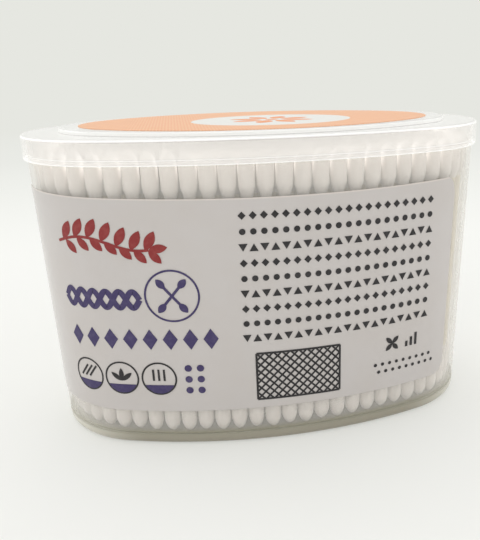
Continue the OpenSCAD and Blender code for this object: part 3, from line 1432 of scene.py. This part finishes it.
def solids_of(node: str, decimals: int = 6) -> list[np.ndarray]:
    """Splits a frame node's mesh into its separate solids.

    Args:
        node: the node's name.
        decimals: those of a metre to which two points are the same.

    Returns:
        The points of each solid.
    """
    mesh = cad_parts[node].data
    points = np.empty(len(mesh.vertices) * 3)
    mesh.vertices.foreach_get("co", points)
    edges = np.empty(len(mesh.edges) * 2, np.int64)
    mesh.edges.foreach_get("vertices", edges)
    rounded = np.round(points.reshape(-1, 3), decimals)
    merged, place = np.unique(rounded, axis=0, return_inverse=True)
    ends = place.reshape(-1)[edges.reshape(-1, 2)]
    label = np.arange(len(merged))
    while True:
        least = np.minimum(label[ends[:, 0]], label[ends[:, 1]])
        before = label.copy()
        np.minimum.at(label, ends[:, 0], least)
        np.minimum.at(label, ends[:, 1], least)
        label = label[label]
        if (label == before).all():
            break
    order = np.argsort(label, kind="stable")
    cuts = np.nonzero(np.diff(label[order]))[0] + 1
    return [merged[group] for group in np.split(order, cuts)]


@dataclass(frozen=True)
class Wave:
    """A wave on a head: its turns round it, its bend in radians to a millimetre, its weight."""

    turns: int
    bend: float
    weight: float = 1.0

    def at(self, turn: np.ndarray, height: np.ndarray, phase: float) -> np.ndarray:
        """Returns the wave's height at points given by their angle and their way from the tip."""
        return self.weight * np.sin(self.turns * turn + phase + height / MM * self.bend)


@dataclass
class CottonHeads:
    """The wound heads of one group of swabs, each over its plain solid.

    The spreads are the shares of a size between which the heads differ. blunt is the power
    that rounds a nose, and the ring places are shares of a head's length from its tip.
    """

    node: str
    upper: bool
    around: int
    along: int
    cotton: bpy.types.Material
    seed: int
    radius: float = 2.16 * MM
    radius_spread: Span = (0.955, 1.0)
    stick_radius: float = 1.17 * MM
    neck_radius: float = 1.42 * MM
    neck: float = 3.2 * MM
    neck_spread: Span = (0.8, 1.15)
    swell: float = 4.2 * MM
    swell_spread: Span = (0.86, 1.12)
    swell_power: float = 2.3
    blunt: Span = (0.55, 0.64)
    short: float = 0.7 * MM
    flat_end: float = 0.02 * MM
    first_ring: float = 0.012
    nose_rings: Span = (0.05, 0.35)
    body_rings: Span = (0.42, 0.985)
    lump: float = 0.045 * MM
    lumps: tuple[Wave, ...] = (Wave(2, 0.55), Wave(3, -0.75, 0.8), Wave(1, 1.4, 0.6))
    winding: float = 0.03 * MM
    windings: tuple[Wave, Wave] = (Wave(2, 5.2), Wave(3, 0.0))

    def placed(self) -> list[Placed]:
        """Finds the group's plain heads.

        Returns:
            Where each of them stands.
        """
        found = []
        for points in solids_of(self.node):
            centre = points.mean(0)
            _, _, axes = np.linalg.svd(points - centre, full_matrices=False)
            ahead = axes[0] if (axes[0][2] > 0) != self.upper else -axes[0]
            reach = (points - centre) @ ahead
            neck = points[reach > reach.max() - self.flat_end].mean(0)
            tip = points[reach < reach.min() + self.flat_end].mean(0)
            way = Vector(neck - tip)
            found.append(Placed(Vector(tip), way.normalized(), way.length))
        return found

    def profile(self, share: np.ndarray, length: float, draw: random.Random) -> np.ndarray:
        """Works out a head's radius along its length.

        Args:
            share: places from the tip, at 0, to the neck, at 1.
            length: the head's length.
            draw: where its small differences come from.

        Returns:
            The radius at each place.
        """
        along = share * length
        swell = self.swell * draw.uniform(*self.swell_spread)
        full = self.radius * draw.uniform(*self.radius_spread)
        to_swell = np.clip(1 - along / swell, 0, 1)
        nose = (1 - to_swell ** self.swell_power) ** draw.uniform(*self.blunt)
        start = length - self.neck * draw.uniform(*self.neck_spread)
        back = np.clip((along - start) / (length - start), 0, 1)
        shrink = full - (full - self.neck_radius) * (0.5 - 0.5 * np.cos(back * math.pi))
        radius = np.minimum(full * nose, shrink)
        radius[-1] = self.stick_radius
        return radius

    def roughness(self, turn: np.ndarray, height: np.ndarray, draw: random.Random) -> np.ndarray:
        """Works out how far the lumps and the windings lift a head's surface.

        Args:
            turn: each point's angle round the head.
            height: its way from the tip.
            draw: where the waves' phases come from.

        Returns:
            Each point's lift, in metres.
        """
        phases = [draw.uniform(0, 2 * math.pi) for _ in (*self.lumps, *self.windings)]
        lump = sum(wave.at(turn, height, phase) for wave, phase in zip(self.lumps, phases))
        lump = lump / sum(wave.weight for wave in self.lumps)
        round_it, across = (wave.at(turn, height, phase)
                            for wave, phase in zip(self.windings, phases[len(self.lumps):]))
        return lump * self.lump + round_it * across * self.winding - self.winding

    def faces(self, rows: int) -> list[Face]:
        """Works out the faces of one head.

        Args:
            rows: how many rings of points follow its tip.

        Returns:
            The point numbers of each face, with the tip as point 0.
        """
        count = self.around
        pairs = [(j, (j + 1) % count) for j in range(count)]
        found: list[Face] = [(0, 1 + k, 1 + j) for j, k in pairs]
        for low in range(1, 1 + (rows - 1) * count, count):
            found += [(low + j, low + k, low + count + k, low + count + j) for j, k in pairs]
        return found

    def head(self, at: Placed, draw: random.Random) -> tuple[np.ndarray, list[Face]]:
        """Builds one head, its tip a little short of the plain one's.

        Args:
            at: where the plain head stands.
            draw: where its small differences come from.

        Returns:
            Its points and its faces.
        """
        short = draw.uniform(0, self.short)
        tip, length = np.array(at.tip + at.ahead * short), at.length - short
        share = np.concatenate([[self.first_ring],
                                np.linspace(*self.nose_rings, self.along // 2),
                                np.linspace(*self.body_rings, self.along - self.along // 2),
                                [1.0]])
        radius = self.profile(share, length, draw)
        turn, height = np.meshgrid(full_turn(self.around), share * length)
        reach = radius[:, None] + self.roughness(turn, height, draw)
        reach[-1] = self.stick_radius
        side = at.ahead.orthogonal().normalized()
        other = np.array(at.ahead.cross(side))
        out = np.cos(turn)[..., None] * np.array(side) + np.sin(turn)[..., None] * other
        ring = out * reach[..., None] + tip + height[..., None] * np.array(at.ahead)
        return np.concatenate([tip[None], ring.reshape(-1, 3)]), self.faces(len(share))

    def build(self) -> bpy.types.Object:
        """Winds the group's heads, in place of the plain ones.

        Returns:
            Their piece.
        """
        draw = random.Random(self.seed)
        all_points: list[np.ndarray] = []
        all_faces: list[Face] = []
        start = 0
        for at in self.placed():
            points, faces = self.head(at, draw)
            all_points.append(points)
            all_faces.extend(tuple(start + v for v in f) for f in faces)
            start += len(points)
        piece = new_piece("cotton_" + self.node, np.concatenate(all_points), all_faces, self.cotton)
        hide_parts(self.node)
        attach(piece, BOX_BODY)
        log.info("%s: %d wound heads, %d faces", self.node, len(all_points), len(all_faces))
        return piece


class Group(Enum):
    """The groups that the swabs stand in, and whether they show from close by."""

    FRONT = ("front_wall", True)
    BACK = ("back_wall", True)
    LEFT = ("left_end", True)
    RIGHT = ("right_end", True)
    INNER_FRONT = ("inner_front", False)
    INNER_MIDDLE = ("inner_middle", False)
    INNER_BACK = ("inner_back", False)


@dataclass
class SwabBundle:
    """All the swabs: paper sticks with cotton wound on both ends.

    close_mesh and far_mesh are the points round a head and the rings along it.
    """

    cotton: WoundCotton = WoundCotton("wound cotton")
    paper: RolledPaper = RolledPaper("rolled paper")
    seed: int = 20
    close_mesh: tuple[int, int] = (24, 18)
    far_mesh: tuple[int, int] = (12, 9)

    def build(self) -> None:
        """Dresses the sticks and winds the heads."""
        cotton = self.cotton.build()
        paper = self.paper.build()
        for number, group in enumerate(Group):
            stem, close = group.value
            dress(f"{stem}_sticks", paper)
            mesh = self.close_mesh if close else self.far_mesh
            for upper in (False, True):
                node = f"{stem}_{'upper' if upper else 'lower'}_tips"
                seed = self.seed + 2 * number + upper
                CottonHeads(node, upper, *mesh, cotton, seed).build()


@dataclass
class ClearTub:
    """The moulded tub. Its foot looks dark, partly with painted shade, and the wall just over it
    warm.
    """

    foot_top: float = 2.3 * MM
    warm_top: float = 3.4 * MM
    below: float = 1.0 * MM

    def plastic(self) -> HazyPlastic:
        """Gives the plastic its bands.

        Returns:
            The tub's plastic.
        """
        # This band is darker and warmer than the wall. Its end colour is painted light, lighter
        # towards the ends, which let in more light.
        warm = Band(self.foot_top, self.warm_top, haze=0.30, colour=(0.56, 0.54, 0.41),
                    soft=1.4 * MM, end_painted_light=(0.80, 0.785, 0.69))
        # The foot is dark partly from the thick plastic and partly as painted shade from the table
        # under the box. Its end colour is painted light towards the ends.
        foot = Band(-self.below, self.foot_top, haze=0.85, colour=(0.36, 0.335, 0.265),
                    soft=1.2 * MM, end_painted_light=(0.76, 0.74, 0.65))
        return HazyPlastic("clear tub plastic", bands=(warm, foot))

    def build(self) -> None:
        """Dresses the tub."""
        dress("tub", self.plastic().build())
        log.info("tub dressed")


@dataclass
class LiftLid:
    """The moulded lid: a plate with a raised oval, and a skirt with a bead along its foot."""

    raised: float = 1.2 * MM
    bead: float = 1.5 * MM
    body: Colour = (0.85, 0.838, 0.82)
    # bright is a painted highlight white: on the plate's rounded edge, and on the lines along the
    # foot and the bead, which are also the whiter look of thicker plastic.
    bright: Colour = (0.97, 0.97, 0.96)

    def bands(self) -> tuple[Band, ...]:
        """Works out the lid's bands from its own heights.

        Returns:
            The bands, in the order in which they cover each other.
        """
        foot, crown = (corner.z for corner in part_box("lid"))
        plate, bead = crown - self.raised, foot + self.bead
        # The skirt is near white, partly the milky plastic and partly painted light for the light
        # that it passes on from behind. Its end colour is painted shade that evens out the stronger
        # light on its ends.
        skirt = Band(bead, plate - 0.7 * MM, haze=0.32, colour=(1.0, 0.98, 0.955),
                     soft=0.3 * MM, end_painted_light=(0.875, 0.862, 0.845))
        # The plate's top is painted grey: painted shade against the stronger light that falls on it
        # from above.
        top = Band(plate - 0.15 * MM, plate + 2.0 * MM, haze=0.88, colour=(0.68, 0.68, 0.665),
                   soft=0.15 * MM)
        oval_side = Band(plate + 0.2 * MM, crown - 0.2 * MM, haze=0.92,
                         colour=(0.92, 0.92, 0.90), soft=0.1 * MM)
        # A painted highlight along the rounded edge of the plate.
        plate_edge_highlight = Band(plate - 0.6 * MM, plate - 0.3 * MM, haze=0.90, colour=self.bright,
                          soft=0.15 * MM)
        bead_wall = Band(foot - 0.1 * MM, bead, haze=0.34, colour=(0.90, 0.885, 0.865),
                         soft=0.2 * MM)
        # Two thin white lines along the foot and the bead: partly the whiter look of thicker
        # plastic, partly painted highlight.
        foot_line = Band(foot - 0.05 * MM, foot + 0.1 * MM, haze=0.85, colour=self.bright,
                         soft=0.08 * MM)
        bead_line = Band(bead - 0.3 * MM, bead - 0.25 * MM, haze=0.60, colour=self.bright,
                         soft=0.1 * MM)
        return skirt, top, oval_side, plate_edge_highlight, bead_wall, foot_line, bead_line

    def build(self) -> None:
        """Dresses the lid."""
        plastic = HazyPlastic("clear lid plastic", self.body, haze=0.30, glow=0.12,
                              bands=self.bands())
        dress("lid", plastic.build())
        log.info("lid dressed")


@dataclass(frozen=True)
class Lamp:
    """A square soft lamp that looks at the box: its place, side and power in watts."""

    name: str
    at: tuple[float, float, float]
    size: float
    power: float
    aim: tuple[float, float, float] = (0.0, 0.0, 40.0 * MM)

    def build(self) -> None:
        """Hangs the lamp."""
        light = bpy.data.lights.new(self.name, "AREA")
        light.size = self.size
        light.energy = self.power
        holder = bpy.data.objects.new(self.name, light)
        holder.location = self.at
        way = Vector(self.aim) - Vector(self.at)
        holder.rotation_euler = way.to_track_quat("-Z", "Y").to_euler()
        bpy.context.scene.collection.objects.link(holder)


@dataclass
class Studio:
    """Pale floor, plain light and the camera at the photograph's angle."""

    floor_reach: float = 6.0
    floor_steps: int = 96
    floor_drop: float = 0.05 * MM
    floor_paint: Colour = (0.84, 0.84, 0.82)
    floor_glow: float = 0.45
    floor_glow_rise: Span = (0.12, 0.45)
    # The rings are painted light: the floor's glow is brightest in a ring about 0.22 m round the
    # box and fades to the sky's colour far off.
    ring_places: tuple[float, ...] = (0.10, 0.22, 0.36, 0.64, 1.1)
    ring_colours: tuple[Colour, ...] = (
        linear(241, 242, 237), linear(247, 248, 243), linear(243, 244, 239),
        linear(234, 235, 230), linear(230, 231, 225))
    sky: Colour = linear(230, 231, 225)
    light_front: Colour = (0.74, 0.735, 0.725)
    light_around: Colour = (1.0, 0.995, 0.985)
    light_turn: Span = (-0.95, 0.05)
    ambient: float = 0.86
    lamps: tuple[Lamp, ...] = (
        Lamp("key_lamp", (-0.1, 0.3, 1.2), 1.1, 5.0),
        Lamp("front_lamp", (-0.35, -0.75, 0.75), 0.5, 1.3),
        Lamp("right_lamp", (0.95, -0.3, 0.28), 0.8, 1.4),
        Lamp("left_lamp", (-0.95, -0.1, 0.28), 0.8, 0.8))
    camera_at: tuple[float, float, float] = (-22.564 * MM, -186.395 * MM, 94.514 * MM)
    yaw: float = 0.1789
    pitch: float = 0.2962
    roll: float = -0.0226
    lens: float = 44.12
    shift: float = -0.1111
    clip: Span = (5.0 * MM, 50.0)

    def floor_shade(self, g: Graph) -> Value:
        """Builds the floor's shader: lit near the box, and as bright as the backdrop far off.

        Args:
            g: the graph to build on.

        Returns:
            The shader.
        """
        x, y, _ = g.axes(g.place())
        away = (x * x + y * y) ** 0.5
        reach = self.ring_places[-1]
        stops = [(place / reach, colour)
                 for place, colour in zip(self.ring_places, self.ring_colours)]
        # The glow's colour is painted light, a pool round the box that fades far off.
        tone = g.out(g.node("ValToRGB", {"stops": stops}, {0: away / reach}))
        diffuse = g.out(g.node("BsdfDiffuse", None, {"Color": self.floor_paint}))
        glow = g.out(g.node("Emission", None, {"Color": tone, "Strength": 1.0}))
        share = self.floor_glow + (1 - self.floor_glow) * away.rise(*self.floor_glow_rise)
        return g.either(g.rays("Camera", "Glossy") * share, diffuse, glow)

    def build_floor(self) -> None:
        """Lays the floor."""
        flat = oval(0.0, 0.0, (self.floor_reach, self.floor_reach), full_turn(self.floor_steps))
        rim = [(x, y, -self.floor_drop) for x, y in flat]
        floor = new_piece("studio_floor", rim, [tuple(range(self.floor_steps))],
                          new_material("studio floor", self.floor_shade), smooth=False)

    def build_world(self) -> None:
        """Sets the even light all round and the backdrop that the camera sees."""
        world = bpy.data.worlds.new("studio world")
        world.use_nodes = True
        bpy.context.scene.world = world
        g = Graph(world.node_tree)
        _, back, _ = g.axes(g.out(g.node("TexCoord"), "Generated"))
        around = g.blend(back.rise(*self.light_turn), self.light_front, self.light_around)
        light = g.out(g.node("Background", None, {"Color": around, "Strength": self.ambient}))
        shown = g.out(g.node("Background", None, {"Color": self.sky, "Strength": 1.0}))
        g.finish(g.either(g.rays("Camera", "Glossy", "Transmission"), light, shown), "OutputWorld")

    def build_camera(self) -> None:
        """Sets the camera where the photograph was taken from."""
        sy, cy = math.sin(self.yaw), math.cos(self.yaw)
        sp, cp = math.sin(self.pitch), math.cos(self.pitch)
        sr, cr = math.sin(self.roll), math.cos(self.roll)
        ahead = Vector((sy * cp, cy * cp, -sp))
        right = Vector((cy, -sy, 0.0))
        up = Vector((sy * sp, cy * sp, cp))
        axes = Matrix((right * cr + up * sr, up * cr - right * sr, -ahead))
        camera = bpy.data.cameras.new("photograph_camera")
        camera.lens = self.lens
        camera.shift_x = self.shift
        camera.clip_start, camera.clip_end = self.clip
        holder = bpy.data.objects.new("photograph_camera", camera)
        holder.matrix_world = Matrix.Translation(self.camera_at) @ axes.transposed().to_4x4()
        bpy.context.scene.collection.objects.link(holder)
        bpy.context.scene.camera = holder

    def build(self) -> None:
        """Builds the whole studio."""
        self.build_camera()
        self.build_floor()
        self.build_world()
        for lamp in self.lamps:
            lamp.build()
        bpy.context.scene.view_settings.view_transform = "Standard"


def main() -> None:
    """Builds the box's looks and the studio round it."""
    logging.basicConfig(level=logging.INFO, format="%(name)s: %(message)s")
    Studio().build()
    for assembly in (ClearTub(), LiftLid(), FrontLabel(), LidSticker(), SwabBundle()):
        assembly.build()
        log.info("%s built", type(assembly).__name__)


if __name__ == "__main__":
    main()
